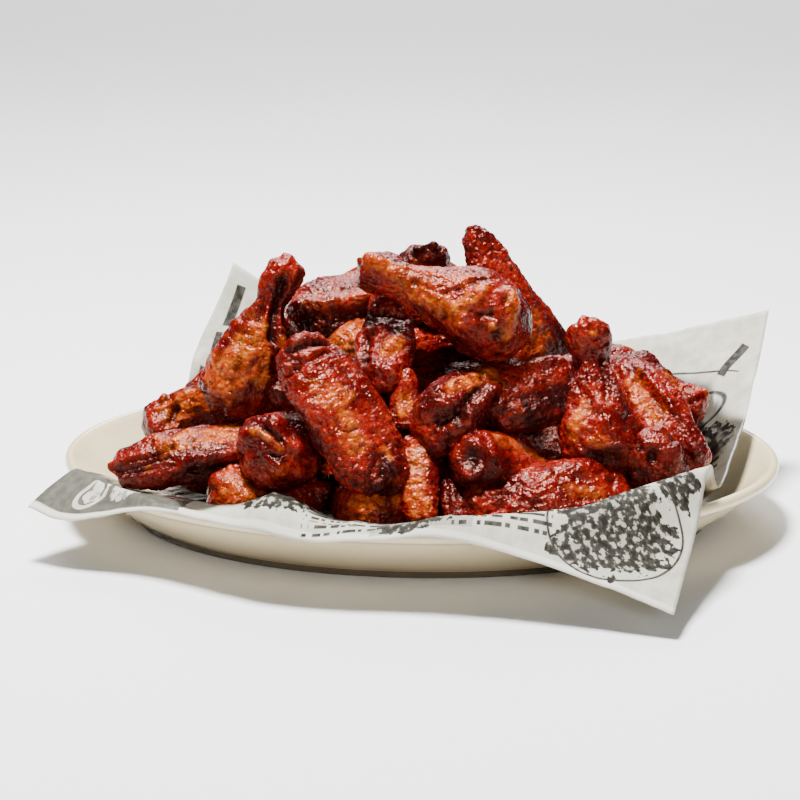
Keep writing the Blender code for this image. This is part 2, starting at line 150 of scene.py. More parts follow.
# Knobs, hollows, ridges and furrows of single wings. Each is a line on the wing's surface:
# share and angle where it starts, share and angle where it ends, reach in mm, height in mm.
# The angle runs round the wing, in degrees, and is 90 in the middle of its broad side.
RELIEF = {
    "drumette_01": ((.14, 108, .46, 132, 3.8, -3.0), (.00, 90, .00, 90, 3.6, 2.4),
                    (.02, 105, .02, 105, 4.0, 1.6), (.08, 30, .30, 30, 6.0, -2.4),
                    (.08, 178, .34, 178, 5.0, -2.6), (.06, 62, .38, 64, 3.4, 1.6),
                    (.42, 165, .55, 165, 5.0, 2.0), (.46, 40, .46, 40, 5.0, 2.0),
                    (.20, 90, .40, 92, 2.4, -1.2), (.66, 90, .66, 90, 11.0, 1.6)),
    "flat_05": ((.86, 55, .91, 130, 2.6, -2.6), (.80, 75, .79, 145, 2.2, -1.8),
                (.75, 55, .25, 50, 5.0, 1.6), (.12, 80, .12, 80, 6.0, 2.0),
                (.07, 115, .07, 115, 5.0, 1.6), (.95, 90, .95, 110, 5.0, 1.6)),
    "flat_06": ((.97, 112, .35, 108, 6.0, 2.4), (.92, 152, .35, 150, 10.0, -3.0)),
    "drumette_07": ((.68, 107, .52, 70, 2.6, -1.6), (.70, 93, .62, 50, 4.0, 1.8),
                    (.74, 100, .70, 68, 3.0, 1.0), (.75, 58, .79, 68, 2.8, -1.4),
                    (.80, 94, .80, 94, 3.8, 2.0), (.79, 76, .79, 76, 3.2, 1.6),
                    (.84, 112, .88, 92, 4.5, 1.8), (.835, 88, .835, 88, 2.4, -1.0),
                    (.89, 80, .92, 42, 4.5, 1.4), (.835, 50, .835, 50, 2.6, 2.0),
                    (.865, 40, .865, 40, 3.4, -1.8), (.66, 34, .66, 34, 4.5, 1.8),
                    (.745, 38, .745, 38, 3.6, 1.6), (.57, 28, .57, 28, 3.4, -1.4),
                    (.02, 100, .02, 100, 3.5, 3.0), (.08, 95, .13, 88, 5.0, 2.0),
                    (.36, 72, .36, 72, 3.4, -1.8), (.45, 40, .50, 48, 5.0, 1.4)),
    "flat_08": ((.02, 20, .02, 20, 3.6, 2.6), (.02, 160, .02, 160, 3.2, 2.2)),
    "fan_09": ((.02, 60, .02, 60, 4.0, 1.6), (.28, 120, .28, 120, 2.0, 1.4)),
    "flat_11": ((.30, 60, .32, 125, 3.0, -2.6), (.60, 108, .72, 92, 4.5, 2.2),
                (.86, 75, .86, 100, 6.0, 2.2), (.55, 50, .80, 45, 4.0, -2.8),
                (.16, 80, .16, 100, 5.0, 2.2), (.44, 80, .50, 60, 4.0, 1.8)),
    "drumette_13": ((.90, 100, .82, 124, 5.0, -3.0), (.80, 112, .62, 112, 3.0, -2.2),
                    (.77, 138, .48, 134, 3.6, 2.0), (.90, 62, .90, 62, 5.0, 2.4),
                    (.83, 66, .83, 66, 4.0, 1.8), (.97, 90, .97, 90, 5.0, 1.8),
                    (.72, 80, .58, 86, 4.5, 1.4), (.45, 80, .40, 95, 6.0, 1.4),
                    (.50, 120, .40, 126, 3.4, -1.2), (.92, 140, .97, 160, 5.0, 1.8)),
    "flat_26": ((.06, 150, .62, 128, 4.5, 2.6), (.30, 100, .80, 98, 9.0, 1.2)),
    "drumette_14": ((.95, 116, .95, 116, 7.5, -3.4), (.97, 15, .90, 58, 3.6, 2.6),
                    (.87, 75, .87, 118, 3.4, 1.8), (.93, 150, .95, 178, 3.8, 2.4),
                    (.95, 66, .95, 66, 3.6, 1.6), (.95, 116, .95, 116, 2.0, 1.2),
                    (.80, 85, .80, 85, 5.0, 0.8)),
    "flat_16": ((.12, 120, .12, 120, 6.0, 1.8), (.20, 92, .20, 92, 5.0, 1.4),
                (.07, 90, .07, 90, 4.0, 1.4), (.30, 120, .70, 118, 7.0, 1.2)),
    "drumette_17": ((.02, 66, .02, 66, 4.0, 1.8), (.035, 112, .035, 112, 3.4, 1.4),
                    (.10, 55, .10, 55, 7.0, 1.0), (.11, 128, .11, 128, 5.0, 1.4),
                    (.06, 92, .16, 96, 2.3, -1.2), (.27, 20, .32, 20, 5.0, -1.6),
                    (.26, 160, .34, 160, 5.0, -1.6), (.27, 118, .55, 96, 2.8, -1.8),
                    (.32, 135, .62, 118, 3.6, 1.6), (.62, 84, .80, 92, 2.8, -1.6),
                    (.66, 50, .66, 50, 8.0, 1.4), (.88, 70, .92, 100, 6.0, -1.8)),
    "flat_18": ((.62, 48, .90, 44, 9.0, -4.0), (.25, 122, .92, 126, 3.2, 2.2),
                (.30, 105, .58, 110, 3.0, -1.4), (.15, 100, .50, 84, 5.0, 1.2)),
    "drumette_19": ((.06, 70, .06, 70, 4.8, 3.2), (.05, 132, .05, 132, 6.0, 2.6),
                    (.11, 96, .13, 104, 3.2, -2.4), (.44, 60, .44, 60, 8.0, 3.0)),
    "drumette_20": ((.78, 86, .78, 86, 15.0, 4.6), (.765, 100, .765, 100, 5.0, 2.4),
                    (.86, 46, .86, 46, 6.0, 3.6), (.92, 80, .92, 80, 4.6, -3.8),
                    (.90, 122, .90, 122, 6.0, 2.8), (.81, 66, .86, 68, 2.6, -2.4),
                    (.68, 40, .68, 40, 4.6, 2.4), (.93, 18, .93, 18, 4.5, 2.6),
                    (.83, 112, .80, 122, 2.8, -2.2), (.60, 75, .60, 75, 5.0, 2.0)),
    "drumette_02": ((.30, 122, .37, 115, 7.0, 2.8), (.20, 126, .20, 126, 3.2, 3.0),
                    (.06, 60, .06, 60, 6.0, 2.2), (.26, 88, .20, 58, 3.0, -2.4),
                    (.12, 30, .16, 34, 5.0, 1.8)),
    "flat_03": ((.02, 76, .36, 82, 2.2, -2.4), (.03, 56, .31, 64, 2.0, -2.2),
                (.05, 40, .26, 46, 2.0, -1.6), (.01, 104, .01, 104, 4.2, 3.0),
                (.45, 46, .95, 55, 4.0, 2.2), (.45, 18, .90, 14, 7.0, -2.8)),
    "drumette_04": ((.82, 84, .80, 80, 8.0, 3.2), (.95, 40, .95, 40, 6.5, 3.0),
                    (.92, 156, .92, 156, 7.5, 3.2), (.80, 128, .80, 128, 5.0, 1.8),
                    (.925, 66, .895, 122, 1.8, 1.5), (.885, 78, .865, 108, 1.7, -1.5),
                    (.95, 118, .925, 134, 1.8, -1.4), (.96, 100, .96, 100, 2.6, 1.3),
                    (.84, 112, .84, 112, 2.4, 1.3), (.97, 8, .95, 0, 4.5, 2.0),
                    (.80, 170, .80, 170, 5.0, 2.2), (.62, 130, .50, 140, 7.0, -2.0)),
    "drumette_21": ((.93, 70, .93, 70, 6.0, 1.6), (.80, 110, .80, 110, 6.0, 1.4)),
    "drumette_22": ((.90, 80, .90, 80, 7.0, 1.4),),
}
# Places where the glaze is thin and amber, and charred ones, as lines like those above, with
# a strength from 0 to 1 in place of the height. The char table also holds painted shade: in
# hollows and crevices, along undersides, and over whole wings that lie in shadow.
AMBER = {
    "drumette_01": ((.48, 97, .78, 80, 10, 1.), (.56, 118, .70, 122, 6, .6),
                    (.45, 165, .50, 165, 4, .5), (.74, 40, .66, 50, 4, .35)),
    "flat_05": ((.55, 99, .30, 108, 6, .75), (.66, 120, .55, 115, 4, .45),
                (.22, 78, .17, 74, 2.5, .9)),
    "drumette_07": ((.28, 50, .60, 38, 6, .5), (.70, 93, .62, 50, 3.6, 1.),
                    (.84, 113, .88, 92, 4, 1.), (.89, 80, .92, 42, 4, .7),
                    (.835, 50, .835, 50, 2.4, 1.), (.30, 85, .58, 98, 7, .3),
                    (.66, 34, .66, 34, 3, .5), (.06, 92, .28, 84, 5, .35)),
    "flat_08": ((.12, 60, .16, 80, 5, .5),),
    "drumette_10": ((.75, 60, .90, 110, 13, .8),),
    "flat_11": ((.60, 108, .72, 92, 4, 1.),),
    "tip_12": ((.50, 90, .75, 80, 4, .7),),
    "drumette_13": ((.71, 82, .64, 88, 4.2, 1.), (.58, 88, .46, 96, 5, .6)),
    "drumette_14": ((.52, 92, .80, 86, 5.0, .38),),
    "flat_15": ((.25, 90, .85, 85, 5, .9),),
    "flat_16": ((.62, 88, .78, 78, 4, .3),),
    "drumette_17": ((.57, 62, .72, 42, 4.4, 1.), (.115, 93, .115, 93, 2.2, .6),
                    (.79, 72, .80, 88, 4, .4)),
    "flat_18": ((.28, 100, .58, 98, 5, .85),),
    "drumette_19": ((.06, 70, .06, 70, 3, .5), (.35, 80, .5, 90, 7, .3)),
    "drumette_02": ((.26, 80, .60, 92, 9, .65),),
    "flat_03": ((.36, 92, .80, 96, 9, 1.), (.20, 48, .20, 48, 3, .8), (.72, 60, .80, 60, 6, .3)),
    "drumette_04": ((.925, 66, .895, 122, 1.7, 1.), (.92, 162, .92, 158, 4.5, .35)),
    "drumette_21": ((.85, 80, .90, 90, 8, .6), (.75, 110, .80, 120, 6, .5)),
    "drumette_22": ((.80, 90, .90, 100, 9, .6),),
    "flat_26": ((.06, 140, .14, 122, 4, .6),),
    "flat_06": ((.85, 104, .45, 98, 6, .35),),
    "fan_09": ((.60, 90, .95, 90, 12, .22),),
}
CHAR_AND_SHADE = {
    "drumette_01": ((.15, 108, .46, 134, 3.6, .85), (.90, 60, .92, 165, 8, .6)),
    "flat_05": ((.14, 96, .00, 110, 10, 1.), (.13, 140, .02, 140, 8, 1.),
                (.60, 174, .20, 164, 5, .8), (.92, 60, .86, 120, 6, .6)),
    "flat_06": ((.92, 152, .35, 150, 10, .5),),
    "drumette_07": ((.745, 57, .80, 66, 2.8, .8), (.36, 72, .36, 72, 3.0, .6),
                    (.865, 40, .865, 40, 3.0, .7), (.90, 15, .75, 5, 9, .7)),
    "flat_08": ((.00, 0, .04, 90, 7, 1.),),
    "flat_11": ((.25, 70, .40, 60, 5, .8), (.55, 50, .75, 45, 3.5, .8)),
    # drumette_13: the first two lines are painted shade in its deep hollows
    "drumette_13": ((.90, 104, .80, 126, 6.5, 1.), (.80, 112, .62, 112, 2.2, .9),
                    (.96, 140, .88, 165, 10, .95), (.97, 200, .90, 190, 8, .9),
                    (.85, 165, .70, 170, 6, .8)),
    # flat_26: painted shadow over its lower part, which lies under the wings above
    "flat_26": ((.20, 58, .62, 66, 11, 1.), (.25, 20, .90, 20, 10, 1.), (.75, 90, .95, 60, 8, .6)),
    "drumette_14": ((.95, 116, .95, 116, 7.0, .95), (.86, 132, .86, 132, 4, .5),
                    (.90, 170, .60, 180, 8, .8)),
    # flat_16: the second line is painted shade along its lower edge on the paper
    "flat_16": ((.03, 100, .22, 100, 8, .5), (.30, 55, .85, 50, 5, .5)),
    "flat_27": ((.10, 90, .90, 90, 12, .7),),
    # drumette_17: the second line is painted shadow on its lower body
    "drumette_17": ((.05, 125, .18, 140, 3.0, .7), (.88, 60, .94, 120, 8, .85),
                    (.30, 116, .45, 105, 1.6, .4)),
    "flat_18": ((.75, 60, .90, 50, 9, .5),),
    "drumette_19": ((.10, 130, .18, 110, 5, .7),),
    "drumette_20": ((.66, 90, .80, 100, 7, .4), (.92, 80, .92, 80, 5, .9), (.93, 0, .93, 30, 8, .7),
                    (.81, 66, .86, 68, 2.2, .7)),
    "drumette_02": ((.15, 60, .25, 30, 6, .5),),
    "flat_03": ((.05, 25, .90, 0, 7, .6), (.02, 60, .30, 60, 2.4, .35)),
    "drumette_04": ((.95, 118, .925, 134, 1.6, .5), (.885, 80, .865, 106, 1.5, .5),
                    (.60, 190, .80, 200, 8, .8)),
    "tip_25": ((.30, 90, .90, 90, 6, .9),),
    "flat_24": ((.20, 90, .90, 90, 12, .5),),
    # flat_44: painted shade over the whole wing, which lies in shadow between its neighbours
    "flat_44": ((.00, 0, 1.0, 0, 60, .9),),
}
# The same for the wings at the back that have none of their own: those whose middle lies
# behind BACK_FROM_Y. The lines are turned on by BACK_TURN degrees from wing to wing.
BACK_AMBER = ((.50, 0, .75, 20, 8, .8), (.45, 130, .80, 120, 7, .7),
              (.55, 245, .70, 260, 8, .8))
BACK_CHAR = ((.90, 50, .95, 120, 7, .8), (.94, 220, .90, 300, 7, .8),
             (.03, 40, .08, 140, 5, .7), (.30, 190, .50, 200, 5, .6))
BACK_FROM_Y = 20.0
BACK_TURN = 47.0
# How pebbled the skin is; 1 where not given
PEBBLED = {"drumette_07": 0.25, "drumette_14": 0.5, "flat_06": 0.8, "drumette_04": 0.5,
           "flat_03": 0.6, "drumette_13": 0.7, "flat_26": 0.25, "drumette_20": 0.6,
           "drumette_02": 0.6, "drumette_10": 0.7, "drumette_19": 0.7, "flat_05": 1.2,
           "fan_09": 1.2, "flat_16": 1.1}

# Colours of the glaze, linear: deep and plain red, amber, thin amber, sauce in the hollows that
# also paints their shade, and char that also paints shade in hollows, on undersides and on wings in
# shadow
DEEP = (0.052, 0.0011, 0.0014, 1.0)
RED = (0.174, 0.0042, 0.0038, 1.0)
ORANGE = (0.305, 0.0265, 0.0042, 1.0)
GOLD = (0.435, 0.1130, 0.0055, 1.0)
SAUCE_AND_SHADE = (0.0125, 0.0006, 0.0008, 1.0)
BURNT_AND_SHADE = (0.0056, 0.0014, 0.0016, 1.0)
# Tints of its highlights: those on the skin, and those on the clear coat
SHINE = (1.0, 0.40, 0.27, 1.0)
COAT_SHINE = (1.0, 0.85, 0.80, 1.0)
# Stoneware: glaze, its specks, painted shade low on the wall, and the bare clay foot darkened as
# painted shadow
CREAM = (0.64, 0.53, 0.32, 1.0)
CREAM_SPECK = (0.50, 0.39, 0.21, 1.0)
CREAM_SHADE_LOW = (0.33, 0.245, 0.135, 1.0)
CLAY_IN_SHADOW = (0.10, 0.072, 0.042, 1.0)
# Paper: plain, its darker clouds, the unprinted margin, the ink, and what grease leaves of it
PAPER = (0.50, 0.475, 0.395, 1.0)
PAPER_CLOUD = (0.40, 0.38, 0.305, 1.0)
PAPER_HEM = (0.60, 0.575, 0.49, 1.0)
INK = (0.013, 0.0112, 0.0078, 1.0)
GREASED = (0.13, 0.12, 0.11, 1.0)

# Studio, in metres: half width and grey of the floor, strength of the light from all around,
# the lights' places, targets, sizes and powers, and where the camera stands and looks
FLOOR_HALF = 6.0
FLOOR_GREY = (0.82, 0.82, 0.82, 1.0)
AROUND_STRENGTH = 0.07
LIGHTS = (
    ("key", (-0.16, 0.06, 1.24), (0.0, 0.0, 0.06), 0.28, 67.0),
    ("back", (0.10, 0.80, 1.05), (0.0, 0.0, 0.08), 0.40, 6.0),
    ("front", (0.40, -1.40, 0.60), (0.0, 0.0, 0.06), 0.30, 7.0),
    ("backdrop", (0.0, 3.60, 2.60), (0.0, 3.60, 0.0), 2.50, 230.0),
)
CAMERA_PLACE = (0.03387, -0.94930, 0.34346)
CAMERA_LOOK = (-0.04338, 0.95532, -0.29237)
CAMERA_LENS = 100.0


# ---- noise -------------------------------------------------------------------------------

def lattice(ix, iy, iz, seed):
    """Repeatable random value from 0 to 1 at whole-number points."""
    h = (ix * 73856093) ^ (iy * 19349663) ^ (iz * 83492791) ^ (seed * 40503)
    h = h & 0xFFFFFFFF
    h = ((h ^ (h >> 15)) * 0x2C1B3C6D) & 0xFFFFFFFF
    h = ((h ^ (h >> 12)) * 0x297A2D39) & 0xFFFFFFFF
    return ((h ^ (h >> 15)) & 0xFFFFFF) / float(0xFFFFFF)


def noise(p, seed):
    """Smooth noise from -1 to 1 at points p."""
    base = np.floor(p).astype(np.int64)
    f = p - base
    f = f * f * f * (f * (f * 6.0 - 15.0) + 10.0)
    total = 0.0
    for dx in (0, 1):
        for dy in (0, 1):
            for dz in (0, 1):
                w = (f[..., 0] if dx else 1.0 - f[..., 0])
                w = w * (f[..., 1] if dy else 1.0 - f[..., 1])
                w = w * (f[..., 2] if dz else 1.0 - f[..., 2])
                total = total + w * lattice(base[..., 0] + dx, base[..., 1] + dy,
                                            base[..., 2] + dz, seed)
    return total * 2.0 - 1.0


def cells(p, seed):
    """Distance to the nearest of scattered points, one in each cell."""
    base = np.floor(p).astype(np.int64)
    near = np.full(p.shape[:-1], 9.0)
    for dx in (-1, 0, 1):
        for dy in (-1, 0, 1):
            for dz in (-1, 0, 1):
                cx, cy, cz = base[..., 0] + dx, base[..., 1] + dy, base[..., 2] + dz
                gap = np.stack([cx + lattice(cx, cy, cz, seed),
                                cy + lattice(cx, cy, cz, seed + 1),
                                cz + lattice(cx, cy, cz, seed + 2)], axis=-1) - p
                near = np.minimum(near, np.sqrt((gap * gap).sum(axis=-1)))
    return near


def smooth(value):
    """Ease from 0 to 1 with level ends."""
    value = np.clip(value, 0.0, 1.0)
    return value * value * (3.0 - 2.0 * value)


def hump(value, centre, width):
    """A rounded rise of height 1 at the centre."""
    return np.exp(-((value - centre) / width) ** 2)


# ---- meshes ------------------------------------------------------------------------------

def grid_object(name, points, quads, tris, layers, uvs=None):
    """Smooth mesh object from numpy points in millimetres, with point attributes."""
    mesh = bpy.data.meshes.new(name)
    corners = np.concatenate([quads.ravel(), tris.ravel()]).astype(np.int32)
    sizes = np.concatenate([np.full(len(quads), 4), np.full(len(tris), 3)]).astype(np.int32)
    starts = np.concatenate([[0], np.cumsum(sizes)[:-1]]).astype(np.int32)
    mesh.vertices.add(len(points))
    mesh.vertices.foreach_set("co", (points * MM).astype(np.float32).ravel())
    mesh.loops.add(len(corners))
    mesh.loops.foreach_set("vertex_index", corners)
    mesh.polygons.add(len(sizes))
    mesh.polygons.foreach_set("loop_start", starts)
    mesh.polygons.foreach_set("loop_total", sizes)
    mesh.update(calc_edges=True)
    mesh.validate()
    mesh.polygons.foreach_set("use_smooth", np.ones(len(sizes), dtype=bool))
    for key, values in layers.items():
        mesh.attributes.new(key, "FLOAT", "POINT").data.foreach_set(
            "value", values.astype(np.float32).ravel())
    if uvs is not None:
        layer = mesh.uv_layers.new(name="UVMap")
        layer.data.foreach_set("uv", uvs[corners].astype(np.float32).ravel())
    made = bpy.data.objects.new(name, mesh)
    bpy.context.scene.collection.objects.link(made)
    return made


def tube(rings, segments):
    """Quads of a tube, and triangles to the two end points after its rings."""
    ring, side = np.meshgrid(np.arange(rings - 1), np.arange(segments), indexing="ij")
    here = ring * segments + side
    after = ring * segments + (side + 1) % segments
    quads = np.stack([here, after, after + segments, here + segments], axis=-1).reshape(-1, 4)
    first, last = rings * segments, rings * segments + 1
    side = np.arange(segments)
    turn = (side + 1) % segments
    low = np.stack([turn, side, np.full(segments, first)], axis=-1)
    top = (rings - 1) * segments
    high = np.stack([top + side, top + turn, np.full(segments, last)], axis=-1)
    return quads, np.concatenate([low, high])


# ---- wings -------------------------------------------------------------------------------

def profile(form, shares, column):
    """Smoothed section size along a wing, closing at both ends."""
    table = np.array(SECTIONS[form])
    fine = np.linspace(-0.2, 1.2, 561)
    values = np.interp(fine, table[:, 0], table[:, column])
    kernel = hump(np.linspace(-1.0, 1.0, 21), 0.0, 0.55)
    values = np.convolve(values, kernel / kernel.sum(), mode="same")
    size = np.interp(shares, fine, values)
    for end in (shares, 1.0 - shares):
        close = np.clip(end / 0.075, 0.0, 1.0)
        size = size * np.sqrt(1.0 - (1.0 - close) ** 2)
    return size


def wing_frame(thin_end, thick_end, roll):
    """Axis, side and broad-side directions of a wing."""
    axis = (Vector(thick_end) - Vector(thin_end)).normalized()
    broad = Vector(FACING)
    broad = (broad - axis * broad.dot(axis)).normalized()
    side = axis.cross(broad)
    turn = math.radians(roll)
    turned = broad * math.cos(turn) + side * math.sin(turn)
    return np.array(axis), np.array(axis.cross(turned)), np.array(turned)


def base_points(wing, shares, turns):
    """Points of the plain loft at the given shares and angles."""
    axis, side, broad = wing_frame(wing.thin_end, wing.thick_end, wing.roll)
    start = np.array(wing.thin_end, dtype=float)
    length = np.linalg.norm(np.array(wing.thick_end) - start)
    wide = profile(wing.form, shares, 1) * wing.girth
    thick = profile(wing.form, shares, 2) * wing.girth
    power = 2.0 / SECTION_POWER
    across = np.sign(np.cos(turns)) * np.abs(np.cos(turns)) ** power
    over = np.sign(np.sin(turns)) * np.abs(np.sin(turns)) ** power
    centre = start + axis * (length * shares)[..., None]
    centre = centre + broad * (wing.bow * 4.0 * shares * (1.0 - shares))[..., None]
    return (centre + side * (across * wide)[..., None] + broad * (over * thick)[..., None])


def line_distance(points, wing, line):
    """Distance from each point to a line drawn on the wing's plain surface."""
    s0, a0, s1, a1 = line
    t = np.linspace(0.0, 1.0, 9)
    marks = base_points(wing, s0 + (s1 - s0) * t, np.radians(a0 + (a1 - a0) * t))
    best = np.full(points.shape[:-1], 1e9)
    for start, end in zip(marks[:-1], marks[1:]):
        step = end - start
        reach = np.clip((points - start) @ step / max(step @ step, 1e-9), 0.0, 1.0)
        gap = points - start - reach[..., None] * step
        best = np.minimum(best, (gap ** 2).sum(axis=-1))
    return np.sqrt(best)


def patches(table, plain, wing, number):
    """The wing's own lines, or for one at the back the plain ones, turned by its number."""
    middle_y = 0.5 * (wing.thin_end[1] + wing.thick_end[1])
    if wing.name in table or middle_y < BACK_FROM_Y:
        return table.get(wing.name, ())
    turn = BACK_TURN * number
    return tuple((s0, a0 + turn, s1, a1 + turn, reach, strength)
                 for s0, a0, s1, a1, reach, strength in plain)


def make_wing(wing, number, pitch, sheet):
    """One glazed wing: loft, knobs and furrows, folds, pebbled skin."""
    widest = max(half for _, half, _ in SECTIONS[wing.form]) * wing.girth
    rings = round(math.dist(wing.thin_end, wing.thick_end) / pitch)
    segments = round(GIRTH_SHARE * widest / (AROUND_PITCH * pitch))
    t = np.linspace(0.0, 1.0, rings + 2)[1:-1]
    shares = 0.65 * t + 0.35 * (0.5 - 0.5 * np.cos(math.pi * t))
    turns = np.linspace(0.0, 2.0 * math.pi, segments, endpoint=False)
    share_grid, turn_grid = np.meshgrid(shares, turns, indexing="ij")
    points = base_points(wing, share_grid, turn_grid)
    along = np.gradient(points, axis=0)
    around = np.roll(points, -1, axis=1) - np.roll(points, 1, axis=1)
    normal = np.cross(around, along)
    normal /= np.maximum(np.linalg.norm(normal, axis=2, keepdims=True), 1e-9)
    axis, side, broad = wing_frame(wing.thin_end, wing.thick_end, wing.roll)
    ends = base_points(wing, np.array([0.0, 1.0]), np.array([0.0, 0.0]))
    points = np.concatenate([points.reshape(-1, 3), ends])
    normal = np.concatenate([normal.reshape(-1, 3), [-axis, axis]])
    outward = ((points[:1] - points.mean(axis=0)) * normal[:1]).sum()
    if outward < 0:
        normal[:-2] *= -1.0
    shares_all = np.concatenate([share_grid.ravel(), [0.0, 1.0]])

    # Flesh in soft lumps, then skin with folds, wrinkles, pebbles and a fine grain
    local = (points - np.array(wing.thin_end)) @ np.array([axis, side, broad]).T
    seed = 100 + 17 * number
    lumps = 1.6 * wing.girth * noise(local / (17.0, 12.0, 12.0), seed)
    lumps += 0.8 * noise(local / 7.0, seed + 5)
    folds = 1.0 - 2.0 * np.abs(noise(local / (13.0, 5.0, 5.0), seed + 1))
    wrinkles = 1.0 - 2.0 * np.abs(noise(local / (4.0, 3.0, 3.0) + 0.3 * folds[:, None],
                                        seed + 2))
    pebbles = 1.0 - np.clip(cells(local / 2.2, seed + 3) / 0.8, 0.0, 1.0) ** 2
    patchy = smooth(0.55 + 0.9 * noise(local / 12.0, seed + 7)) * PEBBLED.get(wing.name, 1.0)
    grain = noise(local / 1.3, seed + 9)
    fine = 0.30 * folds + 0.25 * wrinkles + (0.10 + 0.60 * patchy) * pebbles + 0.15 * grain
    shift = lumps + 1.2 * fine - 0.7
    cut = np.zeros(len(points))
    for *line, reach, height in RELIEF.get(wing.name, ()):
        d = line_distance(points, wing, line) / reach
        rise = height * np.clip(1.0 - d * d, 0.0, 1.0) ** 2
        shift += rise
        cut = np.minimum(cut, rise)
    shift *= smooth(np.minimum(shares_all, 1.0 - shares_all) / 0.02 + 0.6)

    ragged = noise(local / 4.0, seed + 11)
    # relief: the skin's height, low in folds and hollows, which the glaze darkens as painted shade
    layers = {"relief": np.clip(0.42 + 0.55 * fine + 0.16 * cut, 0.0, 1.0)}
    # The second mask marks char, and painted shade in hollows, undersides and wings in shadow
    for key, table, plain in (("amber", AMBER, BACK_AMBER), ("char", CHAR_AND_SHADE, BACK_CHAR)):
        mask = np.zeros(len(points))
        for *line, reach, strength in patches(table, plain, wing, number):
            d = line_distance(points, wing, line) / reach
            mask = np.maximum(mask, strength * smooth(1.15 - d + 0.45 * ragged))
        layers[key] = mask
    points = rest_on(points + normal * shift[:, None], sheet)
    quads, tris = tube(rings, segments)
    return grid_object(wing.name + ".skin", points, quads, tris, layers)


# ---- materials ---------------------------------------------------------------------------

class Nodes:
    """Short way to write a node tree."""

    def __init__(self, name):
        self.material = bpy.data.materials.new(name)
        self.material.use_nodes = True
        self.tree = self.material.node_tree
        self.shader = self.tree.nodes["Principled BSDF"]

    def add(self, kind, **settings):
        node = self.tree.nodes.new(kind)
        for key, value in settings.items():
            setattr(node, key, value)
        return node

    def put(self, socket, value):
        if isinstance(value, bpy.types.NodeSocket):
            self.tree.links.new(value, socket)
        else:
            socket.default_value = value

    def math(self, operation, a, b=0.0, clamp=False):
        node = self.add("ShaderNodeMath", operation=operation, use_clamp=clamp)
        self.put(node.inputs[0], a)
        self.put(node.inputs[1], b)
        return node.outputs[0]

    def mix(self, factor, a, b, blend="MIX"):
        node = self.add("ShaderNodeMix", data_type="RGBA", blend_type=blend)
        self.put(node.inputs[0], factor)
        self.put(node.inputs[6], a)
        self.put(node.inputs[7], b)
        return node.outputs[2]

    def span(self, value, low, high, to_low=0.0, to_high=1.0):
        node = self.add("ShaderNodeMapRange", interpolation_type="SMOOTHSTEP")
        self.put(node.inputs["Value"], value)
        self.put(node.inputs["From Min"], low)
        self.put(node.inputs["From Max"], high)
        self.put(node.inputs["To Min"], to_low)
        self.put(node.inputs["To Max"], to_high)
        return node.outputs["Result"]

    def place(self):
        return self.add("ShaderNodeTexCoord").outputs["Object"]

    def noise(self, scale, detail=2.0, roughness=0.5, vector=None):
        node = self.add("ShaderNodeTexNoise")
        self.put(node.inputs["Vector"], vector if vector is not None else self.place())
        self.put(node.inputs["Scale"], scale)
        self.put(node.inputs["Detail"], detail)
        self.put(node.inputs["Roughness"], roughness)
        return node.outputs["Fac"]

    def attribute(self, name):
        return self.add("ShaderNodeAttribute", attribute_name=name).outputs["Fac"]

    def bump(self, height, distance, strength=1.0, after=None):
        node = self.add("ShaderNodeBump")
        self.put(node.inputs["Height"], height)
        self.put(node.inputs["Distance"], distance)
        self.put(node.inputs["Strength"], strength)
        if after is not None:
            self.put(node.inputs["Normal"], after)
        return node.outputs["Normal"]


def glaze_material():
    """Sticky dark red-brown glaze over roasted skin."""
    n = Nodes("glaze")
    amber = n.attribute("amber")
    char = n.attribute("char")
    relief = n.attribute("relief")
    broad = n.noise(55.0, 3.0, 0.55)
    speck = n.noise(420.0, 3.0, 0.6)
    colour = n.mix(n.span(broad, 0.35, 0.65), DEEP, RED)
    thin = n.math("MULTIPLY", n.span(speck, 0.45, 0.66), n.span(broad, 0.38, 0.62))
    colour = n.mix(n.math("MULTIPLY", thin, 0.6), colour, ORANGE)
    patch = n.noise(230.0, 2.0, 0.55)
    rusty = n.math("MULTIPLY", n.span(amber, 0.0, 0.5), n.span(patch, 0.36, 0.56, 0.25, 0.95))
    colour = n.mix(rusty, colour, ORANGE)
    golden = n.math("MULTIPLY", n.math("MULTIPLY", amber, n.span(speck, 0.42, 0.60, 0.05, 1.0)),
                    n.span(patch, 0.34, 0.54, 0.35, 1.0), clamp=True)
    colour = n.mix(golden, colour, GOLD)
    # Painted shade: low places of the relief take the near-black sauce colour, standing for sauce
    # pooled there and for the shade that falls there
    low = n.span(relief, 0.15, 0.75, 1.0, 0.0)
    colour = n.mix(n.math("MULTIPLY", low, 0.85), colour, SAUCE_AND_SHADE)
    # Char, and painted shade where the mask marks hollows, undersides and wings in shadow:
    # near-black
    burnt_and_shade = n.math("MULTIPLY", char, n.span(speck, 0.30, 0.62, 1.0, 0.55), clamp=True)
    colour = n.mix(burnt_and_shade, colour, BURNT_AND_SHADE)
    n.put(n.shader.inputs["Base Color"], colour)
    rough = n.span(n.noise(160.0, 2.0), 0.3, 0.7, 0.16, 0.34)
    dull = n.math("MAXIMUM", burnt_and_shade, n.math("MULTIPLY", low, 0.5))
    n.put(n.shader.inputs["Roughness"], n.math("ADD", rough, n.math("MULTIPLY", burnt_and_shade, 0.12)))
    n.put(n.shader.inputs["Specular IOR Level"], n.span(dull, 0.0, 1.0, 0.36, 0.12))
    n.put(n.shader.inputs["Specular Tint"], SHINE)
    n.put(n.shader.inputs["Coat Weight"], n.span(dull, 0.0, 1.0, 0.045, 0.015))
    n.put(n.shader.inputs["Coat Roughness"], 0.08)
    n.put(n.shader.inputs["Coat IOR"], 1.40)
    n.put(n.shader.inputs["Coat Tint"], COAT_SHINE)
    fine = n.bump(n.noise(900.0, 1.0, 0.5), 0.0005, 0.8)
    n.put(n.shader.inputs["Normal"], n.bump(n.noise(430.0, 1.0, 0.5), 0.0012, 0.9, fine))
    return n.material


